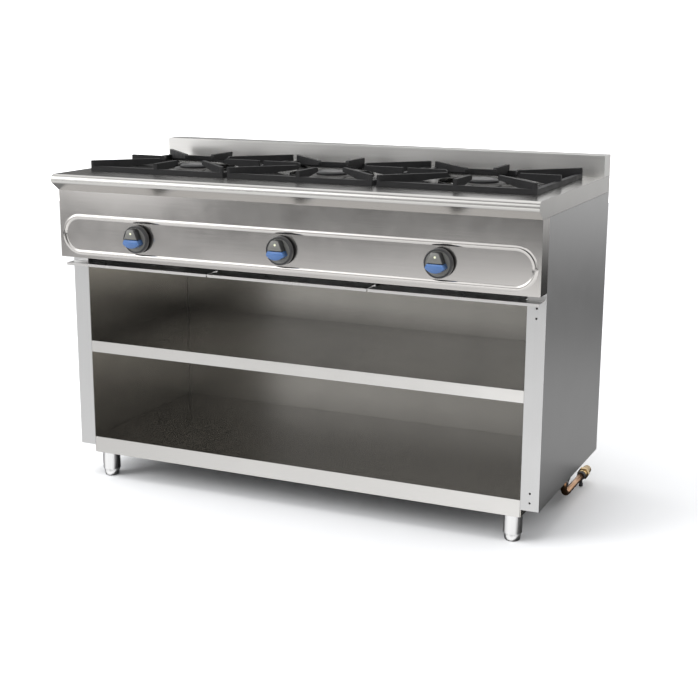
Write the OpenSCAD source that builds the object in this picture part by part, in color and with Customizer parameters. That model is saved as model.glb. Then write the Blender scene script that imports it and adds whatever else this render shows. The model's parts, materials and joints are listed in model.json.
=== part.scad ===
// Open-top commercial gas range with three burners on an open stand.
// Millimetres, +Z up, front faces -Y. The origin is on the floor, at the centre of the footprint.

/* [Stand] */
// Overall width of the range
range_w = 1200; // [1200:1:1260]
// Height of the worktop above the floor
worktop_z = 771; // [771:1:800]
// Thickness of the stainless sheet
sheet_t = 1.5; // [1:0.1:2]
// Height of the lower edge of the side panels
side_bottom_z = 84; // [80:1:90]
// Width of the front stiles
stile_w = 42; // [38:1:46]
// Height of the top of the base shelf
base_z = 106; // [104:1:112]
// Height of the front lip of the base shelf
base_lip_h = 40; // [30:1:42]
// Height of the top of the mid shelf
mid_z = 354; // [300:1:400]
// Height of the front lip of the mid shelf
mid_lip_h = 28; // [20:1:40]
// Height of the upstand above the worktop
upstand_h = 50; // [30:1:60]
// Depth of the upstand
upstand_d = 55; // [50:1:60]

/* [Burners] */
// Distance between burner centres, and between knobs
pitch = 378; // [376:1:390]
// Side of a square pan support
support_w = 366; // [360:1:372]
// Height of the top of the pan supports above the worktop
support_h = 25; // [24:1:32]
// Height of the frame of a pan support
frame_h = 11.5; // [9:0.5:14]
// Thickness of a pan support fin
fin_t = 9; // [7:0.5:12]
// Radius of the free space in the middle of a pan support
fin_inner_r = 85; // [80:1:95]
// Radius of the burner opening in the worktop
opening_r = 100; // [96:1:110]
// Outer radius of the burner crown
crown_r = 58; // [50:1:60]
// Radius of the burner cap
cap_r = 37; // [30:1:42]
// Number of flame ports in a crown
ports = 24; // [12:4:36]

/* [Controls] */
// Lower edge of the fascia
fascia_z0 = 570; // [566:1:575]
// Height of the knob axes
knob_z = 626.5; // [620:0.5:632]
// Radius of the pressed bead's ends
bead_r = 43; // [40:1:46]
// Radius of a knob's skirt
knob_r = 33; // [28:1:34]
// Travel of a knob when pushed
push_travel = 3; // [2:0.5:4]

/* [Drip trays] */
// Height of the underside of a tray
tray_z = 541; // [540:0.5:542]
// Depth of a tray's walls
tray_h = 12.5; // [12:0.5:13.5]
// Place of the joint between two trays
tray_split = 203; // [198:1:206]

/* [Feet] */
// Outer radius of a foot sleeve
foot_r = 21.5; // [18:0.5:22]
// Distance of the feet from the centre, sideways
foot_x = 533; // [520:1:536]

/* [Hidden] */
$fn = 64;
half_w = range_w / 2;
stile_y = -210;           // front face of the stiles
rear_y = 294;             // rear face of the range
fascia_y = -258;          // front face of the fascia
inner_x = half_w - stile_w;
skirt_z = worktop_z - 40; // lower edge of the worktop's side skirts
back_y = 250;             // front face of the back panel
gap = 0.3;                // clearance between bodies that move apart
fit = 0.05;               // radial clearance of a running fit
touch = 0.2;              // clearance between fixed sheets

// rolled nosing: an upper arc, a short flat, a lower arc and a slope down to the fascia
nose_r1 = 12;
nose_r2 = 10;
nose_slope = 55;          // end angle of the lower arc past the horizontal
nose_top = [-276, worktop_z - nose_r1];
nose_low = [-278, worktop_z - 14];

upstand_y = rear_y - upstand_d;
support_z = worktop_z + gap;
burner_y = 5;             // centre line of the burners
burner_z = 706;           // top of the burner rails
lug_h = 4;                // thickness of a burner body's lugs
bowl_top = 752;           // rim of the burner bowl
crown_z = bowl_top + gap;
crown_top = 772;
cap_z = crown_top + gap;
cap_top = 780;
venturi_z = 728;
injector_y = burner_y - 172;

manifold_y = -190;
manifold_z = 590;
manifold_r = 10.65;
spindle_r = 4;
plug_r = 8;
spindle_flat = 2.4;       // distance of the spindle's flat from its axis
knob_standoff = 2.3;      // space left behind a knob that is pushed in
knob_back = fascia_y - push_travel - knob_standoff;
knob_step = -275;         // front of the skirt, foot of the grip
knob_front = -294;
spindle_end = -284;

tray_y0 = -246;           // front of the tray lips
tray_y1 = 235;
lip_back_y = -212;        // where the wide part of the lips ends, ahead of the stiles
tray_wall_y = -185;       // front wall of the trays
lip_end = 595;
hem_h = 6.5;              // height of the folded front edge of a tray's lip
runner_z = tray_z - gap;
runner_t = 3;             // thickness of the runner frame's bars
lining_top = runner_z - runner_t - touch;

riser_x = 580;
riser_r = 7.5;
riser_y = 65;             // where the riser goes down
riser_low_z = 30;
riser_end_y = 248;
foot_ys = [-178, 222];
sleeve_z = 18;

hinge_hole_r = 2.5;
hinge_hole_x = 579;
hinge_hole_zs = [536, 514, 124, 102];

steel = [0.72, 0.72, 0.71];
bright = [0.86, 0.86, 0.85];
iron = [0.13, 0.13, 0.13];
brass_c = [0.80, 0.62, 0.30];
copper_c = [0.80, 0.48, 0.30];
black_c = [0.10, 0.10, 0.10];
blue_c = [0.26, 0.42, 0.70];

burners = [1, 2, 3];
function burner_x(i) = (i - 2) * pitch;
function arc(c, r, a0, a1, n = 8) =
    [for (k = [0:n]) let (a = a0 + (a1 - a0) * k / n) c + r * [cos(a), sin(a)]];
function join(lists) = [for (l = lists) each l];
function numbered(name) = [for (i = burners) str(name, "_", i)];

// ---------- helpers ----------

// A box given by its lowest and highest corners.
module block(lo, hi) {
    translate(lo) cube(hi - lo);
}

// Children drawn along +Z are turned to run along +Y or +X.
module along_y(p) {
    translate(p) rotate([-90, 0, 0]) children();
}
module along_x(p) {
    translate(p) rotate([0, 90, 0]) children();
}

// A quarter bend of bend radius R in the XY plane, from (R, 0) to (0, R).
module bend(R, r) {
    rotate_extrude(angle = 90) translate([R, 0]) circle(r);
}

// A ring standing on the XY plane.
module ring(r_out, r_in, h) {
    difference() {
        cylinder(r = r_out, h = h);
        translate([0, 0, -1]) cylinder(r = r_in, h = h + 2);
    }
}

// ---------- cabinet ----------

// Side panel: outer skin, the front stile folded from it, and a rear return.
module side_panel(side, holes) {
    low = side_bottom_z;
    top = skirt_z - 0.5;
    rear_return = 20;
    color(bright) mirror([side < 0 ? 1 : 0, 0, 0]) difference() {
        union() {
            block([half_w - sheet_t, stile_y, low], [half_w, rear_y, top]);
            block([inner_x, stile_y, low], [half_w, stile_y + sheet_t, top]);
            block([half_w - rear_return, rear_y - sheet_t, low], [half_w, rear_y, top]);
        }
        for (z = holes)
            along_y([hinge_hole_x, stile_y - 1, z]) cylinder(r = hinge_hole_r, h = 10);
    }
}

// Flat inner skin of one side of the cupboard, with its hidden top edge turned outwards.
module inner_lining(side) {
    low = base_z - base_lip_h;
    top = lining_top;
    fold = 12;
    y0 = stile_y + sheet_t + touch;
    y1 = back_y - touch;
    color(steel) mirror([side < 0 ? 1 : 0, 0, 0]) {
        block([inner_x, y0, low], [inner_x + sheet_t, y1, top]);
        block([inner_x, y0, top - sheet_t], [inner_x + fold, y1, top]);
    }
}

module back_panel() {
    w = inner_x - touch;
    color(steel) {
        block([-w, back_y, base_z - base_lip_h], [w, back_y + sheet_t, 560]);
        block([-w, back_y + sheet_t, 560 - sheet_t], [w, back_y + 18, 560]);
    }
}

// Shelf folded down on all four sides. The front lip is flush with the stiles.
module folded_shelf(top_z, lip_h, side_h) {
    w = inner_x - 2 * touch;
    y1 = back_y - touch;
    difference() {
        block([-w, stile_y, top_z - lip_h], [w, y1, top_z]);
        block([-w + sheet_t, stile_y + sheet_t, top_z - lip_h - 1],
              [w - sheet_t, y1 - sheet_t, top_z - sheet_t]);
        for (s = [-1, 1])
            translate([s * w, (stile_y + 16 + y1) / 2, top_z - side_h - 50])
                cube([4 * sheet_t, y1 - stile_y - 16 + 2, 100], center = true);
    }
    block([-w + 20, stile_y + sheet_t, top_z - lip_h], [w - 20, stile_y + 9, top_z - lip_h + sheet_t]);
}

module base_shelf() {
    color(bright) folded_shelf(base_z, base_lip_h, base_lip_h);
}

module mid_shelf() {
    color(bright) folded_shelf(mid_z, mid_lip_h, 18);
}

// ---------- worktop ----------

// Outline of the nosing in the YZ plane; d is the inset from the outer surface.
function nosing(d) = join([
    arc(nose_top, nose_r1 - d, 90, 180, 9),
    arc(nose_low, nose_r2 - d, 180, 180 + nose_slope, 6)
]);
nose_tip = nose_low + nose_r2 * [cos(180 + nose_slope), sin(180 + nose_slope)];
nose_foot = [fascia_y, nose_tip[1] - (fascia_y - nose_tip[0]) * tan(90 - nose_slope)];

// The sheet of the worktop seen from its end.
module worktop_section() {
    polygon(join([
        [[rear_y, skirt_z], [rear_y, worktop_z]],
        nosing(0),
        [nose_foot, nose_foot + [0, sheet_t / cos(90 - nose_slope)]],
        [for (k = [len(nosing(0)) - 1:-1:0]) nosing(sheet_t)[k]],
        [[rear_y - sheet_t, worktop_z - sheet_t], [rear_y - sheet_t, skirt_z]]
    ]));
}

// The side skirt closes the end of the nosing.
module skirt_section() {
    polygon(join([
        [[rear_y, skirt_z], [rear_y, worktop_z]],
        nosing(0),
        [nose_foot, [fascia_y, skirt_z]]
    ]));
}

module worktop() {
    color(steel) difference() {
        union() {
            translate([-half_w, 0, 0]) rotate([90, 0, 90]) linear_extrude(range_w) worktop_section();
            for (x = [-half_w, half_w - sheet_t])
                translate([x, 0, 0]) rotate([90, 0, 90]) linear_extrude(sheet_t) skirt_section();
            for (i = burners)
                translate([burner_x(i), burner_y, worktop_z - 8])
                    cylinder(r = opening_r + sheet_t, h = 12);
        }
        for (i = burners)
            translate([burner_x(i), burner_y, worktop_z - 20]) cylinder(r = opening_r, h = 40);
    }
}

// Hollow box along the rear edge, open below.
module rear_upstand() {
    top = worktop_z + upstand_h;
    color(steel) difference() {
        block([-half_w, upstand_y, worktop_z], [half_w, rear_y, top]);
        block([-half_w + sheet_t, upstand_y + sheet_t, worktop_z - 1],
              [half_w - sheet_t, rear_y - sheet_t, top - sheet_t]);
    }
}

// Screwed cover at the rear of the burner box.
module rear_service_panel() {
    color(steel) difference() {
        block([-half_w + 22, rear_y - 4.5, 575], [half_w - 22, rear_y - 3, skirt_z - 1]);
        for (x = [-540, -180, 180, 540])
            for (z = [590, 715])
                along_y([x, rear_y - 10, z]) cylinder(r = 2.7, h = 20);
    }
}

// ---------- fascia ----------

// Half-round pressed bead in the shape of a racetrack, on the front face.
module bead() {
    r = 10;
    sink = 7.8;
    end_x = half_w - 13 - bead_r;
    intersection() {
        along_y([0, fascia_y + sink, knob_z]) {
            for (s = [-1, 1])
                translate([s * end_x, 0, 0]) rotate([0, 0, s * 90 + 180])
                    rotate_extrude(angle = 180) translate([bead_r, 0]) circle(r);
            for (s = [-1, 1])
                translate([-end_x, s * bead_r, 0]) rotate([0, 90, 0]) cylinder(r = r, h = 2 * end_x);
        }
        block([-half_w, fascia_y - 10, fascia_z0], [half_w, fascia_y + 0.5, skirt_z]);
    }
}

module control_fascia() {
    top = nose_foot[1] - touch;
    color(steel) difference() {
        union() {
            block([-half_w, fascia_y, fascia_z0], [half_w, fascia_y + sheet_t, top]);
            for (x = [-half_w, half_w - sheet_t])
                block([x, fascia_y, fascia_z0], [x + sheet_t, stile_y - touch, top]);
            block([-half_w, fascia_y, fascia_z0], [half_w, fascia_y + 20, fascia_z0 + sheet_t]);
            block([-half_w, fascia_y, top - sheet_t], [half_w, fascia_y + 20, top]);
            bead();
        }
        for (i = burners)
            along_y([burner_x(i), fascia_y - 5, knob_z]) cylinder(r = 7, h = 10);
    }
}

// ---------- drip trays ----------

function tray_x0(i) = [-lip_end, 1.5 - tray_split, 1.5 + tray_split][i - 1];
function tray_x1(i) = -tray_x0(4 - i);

// Shallow tray with a flat pull lip that runs out under the fascia.
module drip_tray(i) {
    lip0 = tray_x0(i);
    lip1 = tray_x1(i);
    x0 = i == 1 ? -inner_x + 5 : lip0 + 4;
    x1 = i == 3 ? inner_x - 5 : lip1 - 4;
    t = 1.2;
    rim = tray_z + tray_h;
    color(bright) {
        difference() {
            block([x0, tray_wall_y, tray_z], [x1, tray_y1, rim]);
            block([x0 + t, tray_wall_y + t, tray_z + t], [x1 - t, tray_y1 - t, rim + 1]);
        }
        block([lip0, tray_y0, rim - t], [lip1, lip_back_y, rim]);
        block([x0, lip_back_y, rim - t], [x1, tray_wall_y, rim]);
        block([lip0, tray_y0, rim - hem_h], [lip1, tray_y0 + t, rim - t]);
    }
}

// Welded frame of flat bars that the trays slide on. Its outer bars lie on the linings' top folds.
module tray_runner_frame() {
    bar = 24;
    y0 = tray_wall_y;
    y1 = back_y - touch;
    low = runner_z - runner_t;
    w = inner_x + 10;
    color(steel) {
        block([-w, y0, low], [w, y0 + 14, runner_z]);
        block([-w, y1 - 14, low], [w, y1, runner_z]);
        for (x = [-w + bar / 2, -tray_split, tray_split, w - bar / 2])
            block([x - bar / 2, y0, low], [x + bar / 2, y1, runner_z]);
    }
}

// ---------- pan supports ----------

// One fin: full height at the frame, thinner towards the burner. Its outer end is at radius r1.
module fin(r1, z0) {
    top = worktop_z + support_h;
    translate([0, fin_t / 2, 0]) rotate([90, 0, 0]) linear_extrude(fin_t) polygon([
        [r1, z0], [r1, top], [fin_inner_r + 4, top], [fin_inner_r, top - 4],
        [fin_inner_r, top - 10], [r1 - 20, z0 + 2], [r1 - 20, z0]
    ]);
}

module pan_support(i) {
    h = support_w / 2;
    bar = 12;
    color(iron) translate([burner_x(i), burner_y, 0]) {
        difference() {
            block([-h, -h, support_z], [h, h, worktop_z + frame_h]);
            block([-h + bar, -h + bar, support_z - 1], [h - bar, h - bar, worktop_z + frame_h + 1]);
        }
        intersection() {
            union() {
                for (a = [0:90:270]) rotate(a) fin(h, support_z);
                for (a = [45:90:315]) rotate(a) fin(h * sqrt(2), support_z);
            }
            block([-h, -h, support_z], [h, h, worktop_z + support_h]);
        }
    }
}

// ---------- burners ----------

// Two flat bars across the range that carry the burners.
module burner_rails() {
    w = half_w - sheet_t - touch;
    thick = 6;
    color(steel) for (s = [-1, 1]) let (y = burner_y + 70 * s) difference() {
        block([-w, y - 16, burner_z - thick], [w, y + 16, burner_z]);
        for (i = burners)
            translate([burner_x(i), y + 8 * s, burner_z - 20]) cylinder(r = 2.7, h = 40);
    }
}

// Cast bowl with its lugs, the venturi tube and the arms that hold the injector.
module burner_body(i) {
    lug_y = 86;
    color(iron) translate([burner_x(i), burner_y, 0]) difference() {
        union() {
            translate([0, 0, burner_z]) cylinder(r = 52, h = bowl_top - burner_z);
            block([-13, -lug_y, burner_z], [13, lug_y, burner_z + lug_h]);
            along_y([0, -148, venturi_z]) cylinder(r = 14, h = 110);
            along_y([0, -150, venturi_z]) cylinder(r = 20, h = 6);
            for (x = [-16, 11]) block([x, -164, venturi_z - 3], [x + 5, -144, venturi_z + 3]);
            along_y([0, -166, venturi_z]) cylinder(r = 16, h = 8);
        }
        translate([0, 0, burner_z + lug_h]) cylinder(r = 47, h = 60);
        along_y([0, -151, venturi_z]) cylinder(r = 10, h = 110);
        along_y([0, -175, venturi_z]) cylinder(r = 8 + touch, h = 20);
        for (y = [-78, 78])
            translate([0, y, burner_z - 1]) cylinder(r = 2.7, h = 10);
    }
}

// Ported ring that sits on the bowl.
module burner_crown(i) {
    color(iron) translate([burner_x(i), burner_y, 0]) difference() {
        rotate_extrude() polygon([
            [21, crown_z - 8], [46, crown_z - 8], [46, crown_z], [crown_r, crown_z],
            [crown_r, crown_top - 8], [crown_r - 8, crown_top], [21, crown_top]
        ]);
        for (k = [0:ports - 1])
            rotate(k * 360 / ports) translate([crown_r - 9, -1.1, crown_z + 3]) cube([12, 2.2, 7]);
    }
}

module burner_cap(i) {
    color(iron) translate([burner_x(i), burner_y, 0]) rotate_extrude() polygon([
        [0, cap_z - 9], [20, cap_z - 9], [20, cap_z], [cap_r, cap_z],
        [cap_r, cap_top - 3], [cap_r - 4, cap_top], [0, cap_top]
    ]);
}

module injector(i) {
    color(brass_c) along_y([burner_x(i), injector_y, venturi_z]) difference() {
        union() {
            cylinder(r = 10, h = 5, $fn = 6);
            cylinder(r = 8, h = 14);
            cylinder(r = 5, h = 18);
        }
        translate([0, 0, -1]) cylinder(r = 4 + fit, h = 12);
        cylinder(r = 0.8, h = 20);
    }
}

// Pilot burner and thermocouple on a bracket that is fixed to the front rail.
module pilot_burner(i) {
    color(steel) translate([burner_x(i), burner_y, burner_z]) {
        block([52, -84, 0], [80, -60, 2]);
        difference() {
            block([52, -60, 0], [80, -58, 32]);
            along_y([60, -65, 23]) cylinder(r = 2, h = 10);
        }
        translate([60, -52.5, 8]) cylinder(r = 5.4, h = 48);
        translate([60, -52.5, 56]) difference() {
            cylinder(r = 7, h = 8);
            translate([0, 0, 3]) cylinder(r = 5, h = 10);
            translate([-12, -3, 3]) cube([12, 6, 10]);
        }
    }
    color(copper_c) translate([burner_x(i) + 73, burner_y - 54, burner_z + 6]) {
        cylinder(r = 3.9, h = 30);
        translate([0, 0, 30]) cylinder(r = 2.4, h = 24);
    }
}

// ---------- gas train ----------

module gas_manifold() {
    x0 = -pitch - 34;
    color(steel) difference() {
        union() {
            along_x([x0, manifold_y, manifold_z]) cylinder(r = manifold_r, h = 546 - x0);
            along_x([x0 - 6, manifold_y, manifold_z]) cylinder(r = 13, h = 10);
            along_x([536, manifold_y, manifold_z]) cylinder(r = 13, h = 20);
        }
        along_x([x0 + 4, manifold_y, manifold_z]) cylinder(r = 8, h = 560 - x0);
    }
}

// Valve body: saddle on the manifold, block with the plug's cavity, front boss and outlet nut.
module gas_valve(i) {
    x = burner_x(i);
    color(brass_c) difference() {
        union() {
            block([x - 15, -240, 602], [x + 15, -176, 650]);
            along_x([x - 13, manifold_y, manifold_z]) cylinder(r = 15, h = 26);
            along_y([x, -252, knob_z]) cylinder(r = 11, h = 14);
            translate([x, -215, 649]) cylinder(r = 9, h = 9, $fn = 6);
        }
        along_x([x - 20, manifold_y, manifold_z]) cylinder(r = manifold_r + touch, h = 40);
        along_y([x, -238, knob_z]) cylinder(r = plug_r + fit, h = 38);
        along_y([x, -260, knob_z]) cylinder(r = spindle_r + fit, h = 30);
        translate([x, -215, 640]) cylinder(r = 4 + touch, h = 30);
    }
}

module valve_spindle(i) {
    x = burner_x(i);
    color(brass_c) difference() {
        union() {
            along_y([x, -237, knob_z]) cylinder(r = plug_r, h = 35);
            along_y([x, spindle_end, knob_z]) cylinder(r = spindle_r, h = -237 - spindle_end);
        }
        block([x + spindle_flat, spindle_end - 1, knob_z - 5], [x + 8, fascia_y, knob_z + 5]);
    }
}

// Copper pipe from a valve up and back to its injector.
module supply_pipe(i) {
    x = burner_x(i);
    R = 15;
    y = -215;
    z1 = venturi_z - R;
    color(copper_c) {
        translate([x, y, 644]) cylinder(r = 4, h = z1 - 644);
        translate([x, y + R, z1]) rotate([90, 0, -90]) bend(R, 4);
        along_y([x, y + R, venturi_z]) cylinder(r = 4, h = injector_y - y - R + 8);
    }
}

// Path of the riser: back from the manifold, down inside the right side, then back to the inlet.
module riser_path(r, extra) {
    r1 = 20;
    r2 = 25;
    r3 = 35;
    y1 = manifold_y + r1;
    z1 = manifold_z - r2;
    z2 = riser_low_z + r3;
    along_x([546 - extra, manifold_y, manifold_z]) cylinder(r = r, h = riser_x - r1 - 546 + extra);
    translate([riser_x - r1, y1, manifold_z]) rotate([0, 0, -90]) bend(r1, r);
    along_y([riser_x, y1, manifold_z]) cylinder(r = r, h = riser_y - r2 - y1);
    translate([riser_x, riser_y - r2, z1]) rotate([90, 0, 90]) bend(r2, r);
    translate([riser_x, riser_y, z2]) cylinder(r = r, h = z1 - z2);
    translate([riser_x, riser_y + r3, z2]) rotate([90, 180, 90]) bend(r3, r);
    along_y([riser_x, riser_y + r3, riser_low_z])
        cylinder(r = r, h = riser_end_y - riser_y - r3 + extra);
}

module gas_riser() {
    color(copper_c) difference() {
        riser_path(riser_r, 0);
        riser_path(riser_r - 1, 1);
    }
}

// Steel saddle clips on the inner lining, round the riser.
module riser_clips() {
    color(bright) for (z = [180, 450]) translate([riser_x, riser_y, z]) {
        difference() {
            union() {
                cylinder(r = 9, h = 14);
                block([-20.3, -6, 0], [0, 6, 14]);
            }
            translate([0, 0, -1]) cylinder(r = riser_r + touch, h = 20);
        }
    }
}

// Brass union with a male thread, pointing back at the right rear corner.
module inlet_fitting() {
    color(brass_c) along_y([riser_x, riser_end_y + touch, riser_low_z]) difference() {
        union() {
            cylinder(r = 15, h = 12, $fn = 6);
            translate([0, 0, 12]) cylinder(r = 12.5, h = 5);
            translate([0, 0, 17]) cylinder(r = 10.48, h = 24);
            translate([0, 0, -10]) ring(10.5, riser_r + touch, 11);
        }
        translate([0, 0, -1]) cylinder(r = 6.5, h = 60);
    }
}

// Pressure test nipple with its black cap, hanging from the pipe just before the union.
module test_point() {
    y = riser_end_y - 16;
    color(brass_c) difference() {
        union() {
            along_y([riser_x, y - 6, riser_low_z]) cylinder(r = 10, h = 12);
            translate([riser_x, y, 11]) cylinder(r = 3.5, h = 12);
        }
        along_y([riser_x, y - 10, riser_low_z]) cylinder(r = riser_r + touch, h = 20);
    }
    color(black_c) translate([riser_x, y, 3]) cylinder(r = 5, h = 8);
}

// ---------- feet ----------

function foot_pos(k) = [(k % 2 == 1 ? -1 : 1) * foot_x, foot_ys[k > 2 ? 1 : 0]];

// Fixed tubes under the base shelf, each with a plate above and a threaded plug inside.
module foot_sleeves() {
    top = base_z - sheet_t - touch;
    color(bright) for (k = [1:4]) translate(foot_pos(k)) {
        translate([-23, -23, top - 3]) cube([46, 46, 3]);
        difference() {
            translate([0, 0, sleeve_z]) cylinder(r = foot_r, h = top - 3 - sleeve_z);
            translate([0, 0, sleeve_z - 1]) cylinder(r = foot_r - 2, h = 46 - sleeve_z + 1);
            translate([0, 0, 45]) cylinder(r = 8 + fit, h = 25);
            translate([0, 0, 66]) cylinder(r = foot_r - 2, h = top - 3 - 66);
        }
    }
}

// Adjustable foot: a pad narrower than the sleeve and a stem that screws into the sleeve's plug.
module foot(k) {
    top = sleeve_z - gap;
    pad_r = foot_r - 3;
    color(bright) translate(foot_pos(k)) rotate_extrude() polygon([
        [0, 0], [pad_r - 3.5, 0], [pad_r - 1.5, 2], [pad_r, 10], [pad_r, top],
        [8, top], [8, 92], [0, 92]
    ]);
}

// ---------- knobs ----------

// Outline of the grip seen from the front: narrow above, wide and round below.
module grip_section(z_low, z_high) {
    intersection() {
        circle(27);
        translate([0, 11.5]) circle(30);
        polygon([[-9.5, 30], [9.5, 30], [23.4, -8], [23.4, -30], [-23.4, -30], [-23.4, -8]]);
        translate([-40, z_low]) square([80, z_high - z_low]);
    }
}

// Turns a section drawn in the plan plane so that it stands up and faces the front.
module facing_front(x, y_front, depth) {
    translate([x, y_front + depth, knob_z]) rotate([90, 0, 0]) linear_extrude(depth) children();
}

insert_top = 2;           // upper edge of the coloured insert, from the knob's axis
bore_end = -289;          // blind end of the knob's bore

module knob(i) {
    x = burner_x(i);
    color(black_c) difference() {
        union() {
            along_y([x, knob_step, knob_z]) difference() {
                cylinder(r = knob_r, h = knob_back - knob_step);
                translate([0, 0, -1]) ring(29, 25, 3);
            }
            facing_front(x, knob_front, knob_step - knob_front + 0.5) grip_section(insert_top, 30);
            facing_front(x, knob_step - 9, 9.5) grip_section(-30, insert_top);
        }
        difference() {
            along_y([x, bore_end, knob_z]) cylinder(r = spindle_r + fit, h = 40);
            block([x + spindle_flat + fit, bore_end - 1, knob_z - 5], [x + 8, -266, knob_z + 5]);
        }
    }
}

// Coloured lower end of the grip.
module knob_insert(i) {
    x = burner_x(i);
    color(blue_c) difference() {
        facing_front(x, knob_front, knob_step - 9 - knob_front - 0.05) grip_section(-30, insert_top - 0.05);
        along_y([x, bore_end, knob_z]) cylinder(r = spindle_r + fit + 0.5, h = 40);
    }
}

// ---------- fasteners ----------

// Dome-head screw, head up, with its shank below the origin.
module screw(shank) {
    rotate_extrude() polygon([
        [0, -shank], [2.5, -shank], [2.5, 0], [4.8, 0], [4.4, 1.4], [3, 2.4], [0, 2.8]
    ]);
}

module fasteners() {
    color(bright) {
        for (i = burners)
            for (y = [-78, 78])
                translate([burner_x(i), burner_y + y, burner_z + lug_h]) screw(12);
        for (x = [-540, -180, 180, 540])
            for (z = [590, 715])
                translate([x, rear_y - 3, z]) rotate([-90, 0, 0]) screw(5);
    }
}

// ---------- assembly ----------

side_panel(-1, []);  // left_side_panel
side_panel(1, hinge_hole_zs);  // right_side_panel
inner_lining(-1);  // left_inner_lining
inner_lining(1);  // right_inner_lining
back_panel();
base_shelf();
mid_shelf();
worktop();
rear_upstand();
control_fascia();
rear_service_panel();
tray_runner_frame();
burner_rails();
gas_manifold();
gas_riser();
riser_clips();
inlet_fitting();
test_point();
foot_sleeves();
fasteners();
for (k = [1:4]) foot(k);
for (i = burners) drip_tray(i);
for (i = burners) pan_support(i);
for (i = burners) burner_body(i);
for (i = burners) burner_crown(i);
for (i = burners) burner_cap(i);
for (i = burners) injector(i);
for (i = burners) pilot_burner(i);
for (i = burners) supply_pipe(i);
for (i = burners) gas_valve(i);
for (i = burners) valve_spindle(i);
for (i = burners) knob(i);
for (i = burners) knob_insert(i);
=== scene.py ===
"""Commercial gas range: finishes, detail pieces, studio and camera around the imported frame."""

import json
import math

import bmesh
import bpy
from mathutils import Matrix, Vector


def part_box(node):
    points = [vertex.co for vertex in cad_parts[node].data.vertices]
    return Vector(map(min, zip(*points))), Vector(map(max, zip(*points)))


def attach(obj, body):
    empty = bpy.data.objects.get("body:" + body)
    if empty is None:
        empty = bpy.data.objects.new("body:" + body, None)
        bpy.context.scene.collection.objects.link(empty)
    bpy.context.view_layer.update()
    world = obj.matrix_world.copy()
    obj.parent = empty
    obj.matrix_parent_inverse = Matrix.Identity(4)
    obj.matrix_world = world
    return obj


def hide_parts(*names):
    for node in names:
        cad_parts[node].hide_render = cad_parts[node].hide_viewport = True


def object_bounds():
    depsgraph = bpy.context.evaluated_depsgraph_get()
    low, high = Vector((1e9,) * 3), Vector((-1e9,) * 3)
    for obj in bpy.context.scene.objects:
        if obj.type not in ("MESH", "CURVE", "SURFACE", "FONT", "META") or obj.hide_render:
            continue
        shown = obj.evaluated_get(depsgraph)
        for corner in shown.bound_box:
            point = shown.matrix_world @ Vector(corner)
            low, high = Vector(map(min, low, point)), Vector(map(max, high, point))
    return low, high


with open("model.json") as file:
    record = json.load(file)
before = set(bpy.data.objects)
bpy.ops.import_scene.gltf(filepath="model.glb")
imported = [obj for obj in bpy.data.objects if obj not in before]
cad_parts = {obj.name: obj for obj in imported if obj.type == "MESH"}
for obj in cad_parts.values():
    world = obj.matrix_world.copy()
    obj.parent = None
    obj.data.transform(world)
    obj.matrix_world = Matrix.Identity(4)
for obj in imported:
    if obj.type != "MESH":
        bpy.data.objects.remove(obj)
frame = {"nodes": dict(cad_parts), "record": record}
cad_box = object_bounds()

MM = 0.001
NODES = frame["nodes"]
SLOT_OF = {part["node"]: part["material_slot"] for part in frame["record"]["subparts"]}
UNITS = (1, 2, 3)


# ---------- node helpers ----------

class Nodes:
    """Short calls for building a node tree."""

    def __init__(self, tree):
        self.tree = tree

    def node(self, kind, **settings):
        made = self.tree.nodes.new(kind)
        for key, value in settings.items():
            setattr(made, key, value)
        return made

    def link(self, source, target):
        self.tree.links.new(source, target)

    def axes(self, vector):
        """The X, Y and Z of a vector, to be picked by name."""
        split = self.node("ShaderNodeSeparateXYZ")
        self.link(vector, split.inputs[0])
        return split.outputs

    def spread(self, source, low, high, start=0.3, end=0.7, smooth=False):
        """Maps start..end of a source to low..high, evenly or with soft ends."""
        mapped = self.node("ShaderNodeMapRange", interpolation_type="SMOOTHSTEP" if smooth else "LINEAR")
        mapped.inputs["From Min"].default_value = start
        mapped.inputs["From Max"].default_value = end
        mapped.inputs["To Min"].default_value = low
        mapped.inputs["To Max"].default_value = high
        self.link(source, mapped.inputs["Value"])
        return mapped.outputs["Result"]

    def math(self, operation, *values):
        made = self.node("ShaderNodeMath", operation=operation)
        for socket, value in zip(made.inputs, values):
            if isinstance(value, (int, float)):
                socket.default_value = value
            else:
                self.link(value, socket)
        return made.outputs["Value"]

    def ramp(self, source, *stops):
        """A colour ramp whose stops are (position, colour)."""
        made = self.node("ShaderNodeValToRGB")
        elements = made.color_ramp.elements
        while len(elements) < len(stops):
            elements.new(0.5)
        for element, (position, colour) in zip(elements, stops):
            element.position = position
            element.color = (*colour, 1)
        self.link(source, made.inputs["Fac"])
        return made.outputs["Color"]

    def mix(self, factor, a, b):
        """Colour a where the factor is 0 and b where it is 1; each a colour or an output."""
        made = self.node("ShaderNodeMix", data_type="RGBA")
        self.link(factor, made.inputs["Factor"])
        for name, value in (("A", a), ("B", b)):
            socket = [s for s in made.inputs if s.name == name and s.type == "RGBA"][0]
            if isinstance(value, tuple):
                socket.default_value = (*value, 1)
            else:
                self.link(value, socket)
        return [s for s in made.outputs if s.type == "RGBA"][0]


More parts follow.
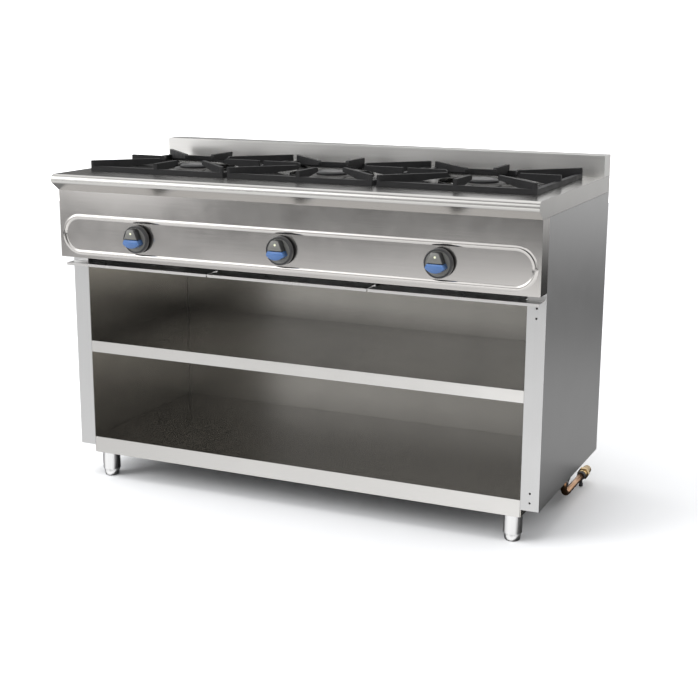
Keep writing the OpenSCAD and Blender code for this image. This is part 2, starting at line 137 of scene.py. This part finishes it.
class Shader(Nodes):
    """A Principled material and the nodes that vary it over the object."""

    def __init__(self, name, **values):
        self.material = bpy.data.materials.new(name)
        self.material.use_nodes = True
        super().__init__(self.material.node_tree)
        self.bsdf = self.tree.nodes["Principled BSDF"]
        self.place = self.node("ShaderNodeTexCoord").outputs["Object"]
        for socket, value in values.items():
            self.bsdf.inputs[socket.replace("_", " ")].default_value = value

    def noise(self, scale, detail, roughness, stretch=(1, 1, 1)):
        """Noise of about `scale` cells a metre, stretched by the given factors."""
        mapping = self.node("ShaderNodeMapping")
        mapping.inputs["Scale"].default_value = stretch
        self.link(self.place, mapping.inputs["Vector"])
        noise = self.node("ShaderNodeTexNoise")
        noise.inputs["Scale"].default_value = scale
        noise.inputs["Detail"].default_value = detail
        noise.inputs["Roughness"].default_value = roughness
        self.link(mapping.outputs["Vector"], noise.inputs["Vector"])
        return noise.outputs["Fac"]

    def facing(self, axis, sense=1):
        """1 on faces that look along an axis, or against it for a sense of -1, and 0 on tilted faces."""
        normal = self.axes(self.node("ShaderNodeNewGeometry").outputs["True Normal"])
        return self.spread(normal[axis], 0, 1, 0.7 * sense, 0.95 * sense)

    def bump(self, height, distance, strength):
        """Adds a bump, in metres of height, on top of any bump made before."""
        made = self.node("ShaderNodeBump")
        made.inputs["Distance"].default_value = distance
        made.inputs["Strength"].default_value = strength
        self.link(height, made.inputs["Height"])
        if self.bsdf.inputs["Normal"].links:
            self.link(self.bsdf.inputs["Normal"].links[0].from_socket, made.inputs["Normal"])
        self.link(made.outputs["Normal"], self.bsdf.inputs["Normal"])

    def set(self, socket, source):
        self.link(source, self.bsdf.inputs[socket])


def tone(colour, factor):
    """The colour made darker or lighter by a factor."""
    return tuple(min(1.0, c * factor) for c in colour)


# ---------- places that the finishes follow ----------

BASE_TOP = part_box("base_shelf")[1][2]
MID_LOW, MID_TOP = (corner[2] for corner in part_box("mid_shelf"))
# Height over which the painted light on the upper cupboard sheet rises above the middle shelf.
UPPER_LIGHT_RISE = 190 * MM
first_cap, middle_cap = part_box("burner_cap_1"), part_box("burner_cap_2")
BURNER_PITCH = middle_cap[0][0] - first_cap[0][0]
BURNER_Y = (middle_cap[0][1] + middle_cap[1][1]) / 2
# Reach and fade of the painted shade round each burner.
BURNER_SHADE_REACH = 168 * MM
BURNER_SHADE_FADE = 16 * MM


# ---------- finishes ----------

GRAIN = {"x": (0.004, 1, 1), "z": (1, 1, 0.004)}
BLACK = (0, 0, 0)
# Colours of painted shade: round the burners and under the base.
BURNER_SHADE_COLOUR = (0.02, 0.02, 0.02)
UNDERSIDE_SHADE_COLOUR = (0.01, 0.01, 0.01)
# Levels of painted light and shade over the cupboard sheet, and the plain level of the back panel's outer
# face.
PAINTED_LIGHT_LEVELS = ((0, 0.65), (0.5, 1.5), (1, 2.2))
OUTER_FACE_LEVEL = 1.4


def burner_shade_mask(steel):
    """1 on the square of sheet round each burner, where painted shade stands in for the dark reflection of
    the pan supports, and 0 elsewhere.
    """
    place = steel.axes(steel.place)
    from_burner = steel.math("ABSOLUTE", steel.math("WRAP", place["X"], BURNER_PITCH / 2, -BURNER_PITCH / 2))
    past_outer = steel.math("SUBTRACT", steel.math("ABSOLUTE", place["X"]), BURNER_PITCH)
    across = steel.math("MAXIMUM", from_burner, past_outer)
    along = steel.math("ABSOLUTE", steel.math("SUBTRACT", place["Y"], BURNER_Y))
    reach = steel.math("MAXIMUM", across, along)
    uneven = steel.math("ADD", reach, steel.spread(steel.noise(30, 3, 0.6), -0.006, 0.006))
    return steel.spread(uneven, 1, 0, BURNER_SHADE_REACH, BURNER_SHADE_REACH + BURNER_SHADE_FADE)


def painted_cupboard_light(steel, colour):
    """Colour of the sheet inside the cupboard, with painted light and shade: lighter up under each shelf and
    to the right, darker low above each shelf and to the left, and plain on the back panel's outer face."""
    place = steel.axes(steel.place)
    lower = steel.spread(place["Z"], 0.5, 0.95, BASE_TOP, MID_LOW)
    upper = steel.spread(place["Z"], 0.25, 1.3, MID_TOP, MID_TOP + UPPER_LIGHT_RISE)
    above = steel.math("GREATER_THAN", place["Z"], MID_TOP - 2 * MM)
    below = steel.math("SUBTRACT", 1, above)
    rise = steel.math("ADD", steel.math("MULTIPLY", upper, above), steel.math("MULTIPLY", lower, below))
    leaning = steel.math("ADD", rise, steel.spread(place["X"], -0.35, 0.2, cad_box[0][0], cad_box[1][0]))
    uneven = steel.math("ADD", leaning, steel.spread(steel.noise(9, 3, 0.6), -0.04, 0.04))
    lit_and_shaded = steel.ramp(uneven, *[(share, tone(colour, level)) for share, level in PAINTED_LIGHT_LEVELS])
    return steel.mix(steel.facing("Y"), lit_and_shaded, tone(colour, OUTER_FACE_LEVEL))


def painted_top_and_underside_shade(steel, unshaded_sheet, top_shade_share):
    """Painted shade: upward faces lose a share of their brightness.
    The underside next to the floor is painted nearly black."""
    top_shaded = steel.mix(steel.math("MULTIPLY", steel.facing("Z"), top_shade_share), unshaded_sheet, BLACK)
    near_floor = steel.math("LESS_THAN", steel.axes(steel.place)["Z"], BASE_TOP + 5 * MM)
    underneath = steel.math("MULTIPLY", near_floor, steel.facing("Z", -1))
    return steel.mix(underneath, top_shaded, UNDERSIDE_SHADE_COLOUR)


def brushed_steel(name, colour, roughness, grain, scratches=1.0, shaded_tops=0.0, painted_burner_shade=0.0, cupboard_light_and_shade=False):
    """Sheet steel with a fine brushed grain along one axis, soft blotches and light scuffs.

    shaded_tops and heated are shares of brightness that painted shade takes from upward faces and from the
    sheet round the burners.
    With shelved, the sheet inside the cupboard gets painted light and shade."""
    steel = Shader(name, Metallic=1.0)
    fine = steel.noise(1500, 3, 0.6, GRAIN[grain])
    coarse = steel.noise(330, 2, 0.5, GRAIN[grain])
    cloud = steel.noise(5.5, 4, 0.55)
    smudge = steel.noise(17, 3, 0.6)
    lines = steel.math("ADD", steel.math("MULTIPLY", fine, 0.75), steel.math("MULTIPLY", coarse, 0.25))
    tint = steel.ramp(lines, (0.30, tone(colour, 0.96)), (0.70, tone(colour, 1.03)))
    sheet = steel.mix(steel.spread(cloud, 0.0, 0.45), tint, tone(colour, 0.94))
    # Painted light and shade: over the cupboard sheet, on upward faces, under the base and round the
    # burners.
    if cupboard_light_and_shade:
        sheet = steel.mix(steel.spread(lines, 0.0, 0.06), painted_cupboard_light(steel, colour), BLACK)
    if shaded_tops:
        sheet = painted_top_and_underside_shade(steel, sheet, shaded_tops)
    if painted_burner_shade:
        sheet = steel.mix(steel.math("MULTIPLY", burner_shade_mask(steel), painted_burner_shade), sheet, BURNER_SHADE_COLOUR)
    steel.set("Base Color", sheet)
    patchy = steel.math("ADD", steel.spread(lines, -0.008, 0.008), steel.spread(smudge, -0.01, 0.015))
    steel.set("Roughness", steel.math("ADD", patchy, roughness))
    steel.bump(lines, 0.01 * MM * scratches, 0.015)
    steel.bump(cloud, 0.2 * MM, 0.01)
    return steel.material


def cast_iron(name, colour, roughness, grain=520):
    """Sand-cast iron: pitted skin, dull patches and rubbed high spots."""
    iron = Shader(name, Specular_IOR_Level=0.25)
    skin = iron.noise(grain, 4, 0.65)
    patches = iron.noise(38, 4, 0.6)
    pits = iron.noise(grain * 0.35, 2, 0.4)
    base = iron.ramp(skin, (0.32, tone(colour, 0.75)), (0.70, tone(colour, 1.35)))
    iron.set("Base Color", iron.mix(iron.spread(patches, 0.0, 0.7), base, tone(colour, 1.7)))
    iron.set("Roughness", iron.math("ADD", iron.spread(patches, -0.08, 0.1), roughness))
    iron.bump(skin, 0.3 * MM, 0.7)
    iron.bump(pits, 0.6 * MM, 0.5)
    return iron.material


def enamel(name, colour, roughness):
    """Vitreous enamel: smooth with an orange-peel ripple and a clear gloss."""
    glaze = Shader(name, Coat_Weight=0.1, Coat_Roughness=0.2, Specular_IOR_Level=0.4)
    ripple = glaze.noise(160, 2, 0.4)
    speck = glaze.noise(900, 2, 0.7)
    glaze.set("Base Color", glaze.ramp(speck, (0.35, tone(colour, 0.8)), (0.72, tone(colour, 1.5))))
    glaze.set("Roughness", glaze.spread(ripple, roughness - 0.05, roughness + 0.09))
    glaze.bump(ripple, 0.3 * MM, 0.35)
    return glaze.material


def turned_metal(name, colour, roughness, tarnish, dirt=0.5):
    """Drawn or turned metal: fine tool lines, and tarnish gathered in clouds."""
    metal = Shader(name, Metallic=1.0)
    lines = metal.noise(1200, 2, 0.5, (1, 0.05, 1))
    cloud = metal.noise(42, 4, 0.6)
    bright = metal.ramp(lines, (0.3, tone(colour, 0.92)), (0.7, tone(colour, 1.06)))
    metal.set("Base Color", metal.mix(metal.spread(cloud, 0.0, dirt), bright, tarnish))
    metal.set("Roughness", metal.math("ADD", metal.spread(cloud, -0.05, 0.12), roughness))
    metal.bump(lines, 0.05 * MM, 0.5)
    return metal.material


def moulded(name, colour, roughness, texture=1400, coat=0.0):
    """Moulded plastic with a fine spark-eroded texture and faint handling marks."""
    plastic = Shader(name, Coat_Weight=coat, Coat_Roughness=0.2, Specular_IOR_Level=0.45)
    skin = plastic.noise(texture, 2, 0.5)
    wear = plastic.noise(55, 4, 0.6)
    base = plastic.ramp(skin, (0.3, tone(colour, 0.88)), (0.7, tone(colour, 1.12)))
    plastic.set("Base Color", plastic.mix(plastic.spread(wear, 0.0, 0.3), base, tone(colour, 1.35)))
    plastic.set("Roughness", plastic.math("ADD", plastic.spread(wear, -0.06, 0.08), roughness))
    plastic.bump(skin, 0.08 * MM, 0.5)
    return plastic.material


SLOT_FINISH = {
    "panel_steel": brushed_steel("panel_steel", (0.62, 0.62, 0.62), 0.30, "z"),
    # The lining, shelf, worktop and upstand finishes carry painted light and shade, set by their last
    # arguments.
    "lining_steel": brushed_steel("lining_steel", (0.43, 0.415, 0.385), 0.25, "z", cupboard_light_and_shade=True),
    "shelf_steel": brushed_steel("shelf_steel", (0.61, 0.60, 0.585), 0.20, "x", shaded_tops=0.86),
    "worktop_steel": brushed_steel("worktop_steel", (0.63, 0.62, 0.60), 0.22, "x", painted_burner_shade=0.8),
    "upstand_steel": brushed_steel("upstand_steel", (0.88, 0.87, 0.85), 0.32, "x", shaded_tops=0.33),
    "fascia_steel": brushed_steel("fascia_steel", (0.64, 0.62, 0.60), 0.13, "x"),
    "tray_steel": brushed_steel("tray_steel", (0.66, 0.65, 0.64), 0.28, "x"),
    "foot_steel": brushed_steel("foot_steel", (0.93, 0.93, 0.93), 0.36, "z", 0.6),
    "screw_steel": turned_metal("screw_steel", (0.70, 0.70, 0.69), 0.25, (0.42, 0.41, 0.40), 0.3),
    "galvanised_sheet": brushed_steel("galvanised_sheet", (0.52, 0.54, 0.56), 0.42, "x", 0.4),
    "manifold_steel": turned_metal("manifold_steel", (0.34, 0.33, 0.32), 0.42, (0.20, 0.17, 0.14)),
    "cast_iron": cast_iron("cast_iron", (0.013, 0.013, 0.0135), 0.50),
    "cast_iron_raw": cast_iron("cast_iron_raw", (0.055, 0.052, 0.050), 0.62, 380),
    "burner_iron": cast_iron("burner_iron", (0.030, 0.029, 0.028), 0.42, 700),
    "burner_enamel": enamel("burner_enamel", (0.016, 0.016, 0.017), 0.34),
    "pilot_steel": turned_metal("pilot_steel", (0.55, 0.54, 0.52), 0.32, (0.30, 0.26, 0.22)),
    "copper_tube": turned_metal("copper_tube", (0.80, 0.46, 0.24), 0.20, (0.42, 0.18, 0.08), 0.5),
    "brass": turned_metal("brass", (0.83, 0.62, 0.33), 0.24, (0.50, 0.34, 0.16), 0.4),
    "test_cap": moulded("test_cap", (0.03, 0.03, 0.032), 0.45),
    "knob_plastic": moulded("knob_plastic", (0.035, 0.035, 0.036), 0.34),
    "insert_plastic": moulded("insert_plastic", (0.05, 0.12, 0.29), 0.32, 900, 0.3),
}


for name, node in NODES.items():
    node.data.materials.clear()
    node.data.materials.append(SLOT_FINISH[SLOT_OF[name]])


# ---------- softened edges ----------

EDGE_RADIUS = {
    "cast_iron": 1.3, "cast_iron_raw": 1.0, "burner_iron": 0.6, "burner_enamel": 0.9,
    "copper_tube": 0.2, "brass": 0.5, "pilot_steel": 0.3, "test_cap": 0.7, "manifold_steel": 0.5,
    "foot_steel": 0.6, "worktop_steel": 0.35, "screw_steel": 0.2,
}
PLAIN_RADIUS = 0.4
WELD_REACH = 0.005 * MM
FLAT_WITHIN = math.radians(0.5)
SHARP_BEYOND = math.radians(35)


def soften(node, radius):
    """Rounds a node's sharp edges a little, as a fold, a cast or a machined chamfer would be."""
    weld = node.modifiers.new("weld", "WELD")
    weld.merge_threshold = WELD_REACH
    flats = node.modifiers.new("flats", "DECIMATE")
    flats.decimate_type = "DISSOLVE"
    flats.angle_limit = FLAT_WITHIN
    edges = node.modifiers.new("edges", "BEVEL")
    edges.width = radius
    edges.segments = 2
    edges.limit_method = "ANGLE"
    edges.angle_limit = SHARP_BEYOND
    edges.harden_normals = True
    edges.miter_outer = "MITER_ARC"


for name, node in NODES.items():
    soften(node, EDGE_RADIUS.get(SLOT_OF[name], PLAIN_RADIUS) * MM)


# ---------- mesh helpers ----------

def mesh_object(name, bm, material):
    """A smooth-shaded object in the scene, made from a bmesh that is then freed."""
    mesh = bpy.data.meshes.new(name)
    bmesh.ops.recalc_face_normals(bm, faces=bm.faces)
    bm.to_mesh(mesh)
    bm.free()
    for polygon in mesh.polygons:
        polygon.use_smooth = True
    made = bpy.data.objects.new(name, mesh)
    bpy.context.scene.collection.objects.link(made)
    made.data.materials.append(material)
    return made


def arc_points(centre, radius, start, end, steps):
    """Points on an arc in a plane, by angles in degrees."""
    angles = [math.radians(start + (end - start) * k / steps) for k in range(steps + 1)]
    return [(centre[0] + radius * math.cos(a), centre[1] + radius * math.sin(a)) for a in angles]


def rounded(corners, radius, steps):
    """A closed outline with each corner rounded, as a list of points."""
    outline = []
    count = len(corners)
    for k, corner in enumerate(corners):
        here = Vector(corner)
        before = Vector(corners[k - 1]) - here
        after = Vector(corners[(k + 1) % count]) - here
        reach = min(radius, before.length * 0.45, after.length * 0.45)
        a, b = here + before.normalized() * reach, here + after.normalized() * reach
        for step in range(steps + 1):
            t = step / steps
            outline.append(tuple((1 - t) ** 2 * a + 2 * t * (1 - t) * here + t * t * b))
    return outline


def loft(sections):
    """A closed form through equal-length outlines, given as lists of (x, y, z) points."""
    bm = bmesh.new()
    rings = [[bm.verts.new(point) for point in section] for section in sections]
    count = len(rings[0])
    for first, second in zip(rings, rings[1:]):
        for k in range(count):
            n = (k + 1) % count
            bm.faces.new((first[k], first[n], second[n], second[k]))
    for ring in (rings[0], rings[-1]):
        bm.faces.new(ring)
    return bm


def turned(profile, centre, segments=72):
    """A form turned about an axis along Y. The profile is a list of (radius, y)."""
    sections = []
    for radius, y in profile:
        circle = arc_points(centre, radius, 0, 360, segments)[:-1]
        sections.append([(x, y, z) for x, z in circle])
    return loft(sections)


# ---------- knobs ----------

# Radii, X and Z are from the knob's axis; setbacks are from its front.
SKIRT_SETBACK = 19 * MM
FACE_SETBACK = 0.4 * MM
GRIP_ROOT = 2 * MM
GRIP_EDGE = 2.2 * MM
GRIP_TOP = 9 * MM
GRIP_TOP_Z = 25.6 * MM
GRIP_WIDE = 23 * MM
GRIP_WIDE_Z = -8 * MM
SPLIT_Z = 2 * MM
CROWN_RADIUS = 28.2 * MM
CROWN_Z = -1.5 * MM
HEEL_RADIUS = 29.8 * MM
HEEL_Z = 11.5 * MM
DOT_RADIUS = 2.7 * MM
DOT_X, DOT_Z = 1.0 * MM, 16.5 * MM
DOT_FINISH = moulded("dot_paint", (0.62, 0.64, 0.46), 0.4, 900)
# A lighter copy of the knob plastic for the dish and face plate: painted light on the faces that look
# forward, while the sides stay dark.
LIT_FACE_FINISH = moulded("knob_face_lit", (0.13, 0.13, 0.122), 0.36)


def grip_outline(upper):
    """Outline of the grip above or below the line where the coloured end begins, from the axis."""
    slope = (GRIP_WIDE - GRIP_TOP) / (GRIP_TOP_Z - GRIP_WIDE_Z)
    at_split = GRIP_TOP + (GRIP_TOP_Z - SPLIT_Z) * slope
    if upper:
        crown = arc_points((0, CROWN_Z), CROWN_RADIUS, 70, 110, 6)
        return rounded(crown + [(-at_split, SPLIT_Z), (at_split, SPLIT_Z)], 1.2 * MM, 3)
    heel = arc_points((0, HEEL_Z), HEEL_RADIUS, 219, 321, 12)
    sides = [(at_split, SPLIT_Z), (-at_split, SPLIT_Z)]
    return rounded(sides + heel, 1.0 * MM, 3)


def inset_section(outline, x, z, y, inset):
    """The outline drawn in towards its middle, standing in the plane at depth y."""
    centre = Vector((0, sum(p[1] for p in outline) / len(outline)))
    reach = max(Vector(p).length for p in outline)
    moved = [centre + (Vector(p) - centre) * (1 - inset / reach) for p in outline]
    return [(x + p[0], y, z + p[1]) for p in moved]


def grip_block(outline, x, z, back, front):
    """The outline carried forward with a slight draft and a rounded front edge."""
    return loft([
        inset_section(outline, x, z, back, 0),
        inset_section(outline, x, z, front + GRIP_EDGE, 0.9 * MM),
        inset_section(outline, x, z, front + 0.3 * GRIP_EDGE, 1.2 * MM),
        inset_section(outline, x, z, front, 2.1 * MM),
    ])


def grip_plate(outline, x, z, front):
    """A thin face plate let into the front of the grip."""
    return loft([
        inset_section(outline, x, z, front + 0.8 * MM, 2.4 * MM),
        inset_section(outline, x, z, front + 0.1 * MM, 2.4 * MM),
        inset_section(outline, x, z, front, 2.7 * MM),
    ])


def skirt_form(centre, radius, back, step):
    """The round skirt, with a rounded rim and a shallow recess inside it."""
    return turned([
        (radius - 5 * MM, back), (radius - 0.8 * MM, back), (radius, back - 0.8 * MM),
        (radius - 0.9 * MM, step + 1.6 * MM), (radius - 1.6 * MM, step + 0.5 * MM),
        (radius - 2.8 * MM, step), (radius - 4.2 * MM, step), (radius - 4.6 * MM, step + 1.6 * MM),
    ], centre)


def dish_form(centre, radius, step):
    """The plate that lies in the skirt's recess round the grip."""
    return turned([
        (radius - 4.5 * MM, step + 1.5 * MM), (radius - 5.2 * MM, step + 1.0 * MM),
        (radius - 9 * MM, step + 1.3 * MM), (12 * MM, step + 1.4 * MM),
    ], centre)


def dot_form(centre, face):
    """The slightly domed pointer dot near the top of the grip."""
    return turned([
        (DOT_RADIUS, face + 0.2 * MM), (DOT_RADIUS, face - 0.1 * MM),
        (DOT_RADIUS - 0.5 * MM, face - 0.3 * MM), (1.0 * MM, face - 0.35 * MM),
    ], centre, 24)


def knob(i):
    """The skirt, dish, grip, face plate, pointer dot and coloured end, in the box of the plain CAD knob."""
    low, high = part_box(f"knob_{i}")
    x, z = (low[0] + high[0]) / 2, (low[2] + high[2]) / 2
    front, back = low[1], high[1]
    radius = (high[0] - low[0]) / 2
    step = front + SKIRT_SETBACK
    face = front + FACE_SETBACK
    skirt = skirt_form((x, z), radius, back, step)
    dish = dish_form((x, z), radius, step)
    upper = grip_block(grip_outline(True), x, z, step + GRIP_ROOT, face + 0.3 * MM)
    plate = grip_plate(grip_outline(True), x, z, face)
    lower = grip_block(grip_outline(False), x, z, step + GRIP_ROOT, face)
    dot = dot_form((x + DOT_X, z + DOT_Z), face)
    for name, form, finish, slot, node in (
        ("skirt", skirt, SLOT_FINISH["knob_plastic"], "knob_plastic", "knob"),
        ("dish", dish, LIT_FACE_FINISH, "knob_plastic", "knob"),
        ("grip", upper, SLOT_FINISH["knob_plastic"], "knob_plastic", "knob"),
        ("plate", plate, LIT_FACE_FINISH, "knob_plastic", "knob"),
        ("dot", dot, DOT_FINISH, "knob_plastic", "knob"),
        ("end", lower, SLOT_FINISH["insert_plastic"], "insert_plastic", "knob_insert"),
    ):
        piece = mesh_object(f"knob_{name}_{i}", form, finish)
        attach(piece, f"knob_{i}")
        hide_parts(f"{node}_{i}")


for i in UNITS:
    knob(i)


# ---------- floor and backdrop ----------

FLOOR_RADIUS = 6.0
BACKDROP_RADIUS = 14.0
SHADE_MARGIN = 100 * MM
SHADE_HEIGHT = 0.3 * MM


def stage_material(name, colour, glow=0.0):
    """Matt paint with a faint mottle, and a white glow of its own where asked."""
    made = Shader(name, Roughness=0.9, Specular_IOR_Level=0.1)
    mottle = made.noise(3, 2, 0.5)
    made.set("Base Color", made.ramp(mottle, (0.3, tone(colour, 0.99)), (0.7, colour)))
    made.bsdf.inputs["Emission Color"].default_value = (1, 1, 1, 1)
    made.bsdf.inputs["Emission Strength"].default_value = glow
    return made.material


def studio_floor():
    bm = bmesh.new()
    bmesh.ops.create_circle(bm, cap_ends=True, radius=FLOOR_RADIUS, segments=96)
    floor = mesh_object("floor", bm, stage_material("floor_paint", (0.87, 0.877, 0.89)))
    floor.visible_glossy = False


def floor_shade():
    """A dark card on the floor under the range, met only by light that the steel underside throws down."""
    low, high = cad_box
    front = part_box("foot_1")[0][1]
    bm = bmesh.new()
    left, right, rear = low[0] - SHADE_MARGIN, high[0] + SHADE_MARGIN, high[1] + SHADE_MARGIN
    corners = [(left, front), (right, front), (right, rear), (left, rear)]
    bm.faces.new([bm.verts.new((x, y, SHADE_HEIGHT)) for x, y in corners])
    shade = mesh_object("floor_shade", bm, stage_material("shade_card", (0.02, 0.02, 0.02)))
    shade.visible_camera = False
    shade.visible_diffuse = False
    shade.visible_shadow = False


def backdrop():
    """A white dome that the camera alone sees, so that the picture's ground is white all round."""
    bm = bmesh.new()
    bmesh.ops.create_uvsphere(bm, u_segments=64, v_segments=32, radius=BACKDROP_RADIUS)
    dome = mesh_object("backdrop", bm, stage_material("backdrop_paint", (0.9, 0.9, 0.9), 1.2))
    dome.visible_diffuse = False
    dome.visible_glossy = False
    dome.visible_transmission = False
    dome.visible_shadow = False


# ---------- studio light ----------

SKY_STRENGTH = 1.1
SOFTBOX_POWER = 240


def softbox(name, place, aim, width, height):
    """A soft lamp that lights the object but is never mirrored in it."""
    light = bpy.data.lights.new(name, "AREA")
    light.shape = "RECTANGLE"
    light.size = width
    light.size_y = height
    light.energy = SOFTBOX_POWER
    made = bpy.data.objects.new(name, light)
    made.location = place
    made.rotation_euler = (Vector(aim) - Vector(place)).to_track_quat("-Z", "Y").to_euler()
    made.visible_glossy = False
    bpy.context.scene.collection.objects.link(made)


def compass(azimuth, height):
    """The direction that lies azimuth degrees from +Y towards -X, and height degrees above the horizon."""
    turn, rise = math.radians(azimuth), math.radians(height)
    return Vector((-math.sin(turn) * math.cos(rise), math.cos(turn) * math.cos(rise), math.sin(rise)))


class Sky(Nodes):
    """Studio light as a world: bands of brightness by height, and soft patches like cards and flags."""

    def __init__(self, strength):
        world = bpy.data.worlds.new("studio")
        world.use_nodes = True
        super().__init__(world.node_tree)
        self.tree.nodes.clear()
        self.toward = self.node("ShaderNodeTexCoord").outputs["Generated"]
        self.background = self.node("ShaderNodeBackground")
        self.background.inputs["Strength"].default_value = strength
        output = self.node("ShaderNodeOutputWorld")
        self.link(self.background.outputs[0], output.inputs["Surface"])
        bpy.context.scene.world = world

    def levels(self, height, stops):
        """Brightness by height; a stop is (degrees above the horizon, brightness)."""
        places = [(math.sin(math.radians(degrees)) + 1) / 2 for degrees, level in stops]
        greys = [(level, level, level) for degrees, level in stops]
        return self.ramp(height, *zip(places, greys))

    def bands(self, front, back):
        """Bands ahead of the object and behind it, blended over its sides."""
        toward = self.axes(self.toward)
        height = self.spread(toward["Z"], 0, 1, -1, 1)
        depth = self.spread(toward["Y"], 0, 1, -0.4, 0.4, smooth=True)
        self.colour = self.mix(depth, self.levels(height, front), self.levels(height, back))

    def patch(self, azimuth, height, inner, outer, level):
        """A round patch of even brightness, soft between two angles from its middle."""
        dot = self.node("ShaderNodeVectorMath", operation="DOT_PRODUCT")
        dot.inputs[1].default_value = compass(azimuth, height)
        self.link(self.toward, dot.inputs[0])
        low, high = (math.cos(math.radians(angle)) for angle in (outer, inner))
        share = self.spread(dot.outputs["Value"], 0, 1, low, high, smooth=True)
        self.colour = self.mix(share, self.colour, (level, level, level))

    def done(self):
        self.link(self.colour, self.background.inputs["Color"])


# Bands are (degrees above the horizon, brightness). From the camera the front ones are mirrored in the
# steel that looks forward, the rear ones in the worktop and the right side panel.
FRONT_BANDS = (
    (-90, 0.8), (-12, 1.1), (-10.5, 0.95), (-8.8, 0.12), (-6.4, 0.04), (-5, 0.6),
    (2, 0.6), (10, 0.9), (45, 1.1), (56, 0.2), (66, 0.2), (76, 1.3), (90, 1.3),
)
REAR_BANDS = (
    (-90, 0.35), (-24, 0.10), (-20, 0.2), (-17.5, 0.36), (-14, 0.36), (-11.5, 0.01),
    (-9.8, 0.06), (-7, 0.58), (5, 0.6), (30, 0.9), (90, 1.3),
)

# Patches are (degrees to the left, degrees above the horizon, inner angle, outer angle, brightness).
# The front ones are counted from straight ahead of the object, the rear ones from straight behind it.
REAR_PATCHES = (
    (34, 7, 4, 16, 0.15),
    (38, 6, 3.5, 6, 0.03),
)
FRONT_PATCHES = (
    (46, 24, 8, 24, 2.5),
    (3, 4, 7, 14, 0.03),
    (34, -2, 3, 6, 1.7),
    (11, -3.5, 4, 8.5, 0.02),
    (15, -16.5, 2, 6, 1.6),
    (39, -19, 4, 8, 0.8),
)


def light_studio():
    sky = Sky(SKY_STRENGTH)
    sky.bands(FRONT_BANDS, REAR_BANDS)
    for left, *rest in REAR_PATCHES:
        sky.patch(left, *rest)
    for left, *rest in FRONT_PATCHES:
        sky.patch(180 - left, *rest)
    sky.done()
    softbox("left_front_light", (-5.4, -5.6, 3.8), (0, 0, 0.5), 3.6, 3.6)
    softbox("top_light", (-1.8, -1.4, 6.0), (-0.6, -0.2, 0.6), 6.0, 5.0)


# ---------- camera ----------

CAMERA_PLACE = (1.3596, -2.8826, 1.1010)
CAMERA_YAW, CAMERA_DIP, CAMERA_ROLL = (math.radians(angle) for angle in (24.449, 13.354, 0.256))
CAMERA_LENS = 68.79
CAMERA_FILM = 36


def camera():
    """The view that shows the front and the right side, a little from above."""
    ahead = Vector((-math.sin(CAMERA_YAW), math.cos(CAMERA_YAW), 0))
    forward = ahead * math.cos(CAMERA_DIP) - Vector((0, 0, math.sin(CAMERA_DIP)))
    level = Vector((math.cos(CAMERA_YAW), math.sin(CAMERA_YAW), 0))
    right = level * math.cos(CAMERA_ROLL) + level.cross(forward) * math.sin(CAMERA_ROLL)
    up = right.cross(forward)
    lens = bpy.data.cameras.new("camera")
    lens.sensor_width = CAMERA_FILM
    lens.lens = CAMERA_LENS
    made = bpy.data.objects.new("camera", lens)
    turn = Matrix((right, up, -forward)).transposed().to_4x4()
    made.matrix_world = Matrix.Translation(CAMERA_PLACE) @ turn
    bpy.context.scene.collection.objects.link(made)
    bpy.context.scene.camera = made


camera()
studio_floor()
floor_shade()
backdrop()
light_studio()
bpy.context.scene.view_settings.view_transform = "Standard"
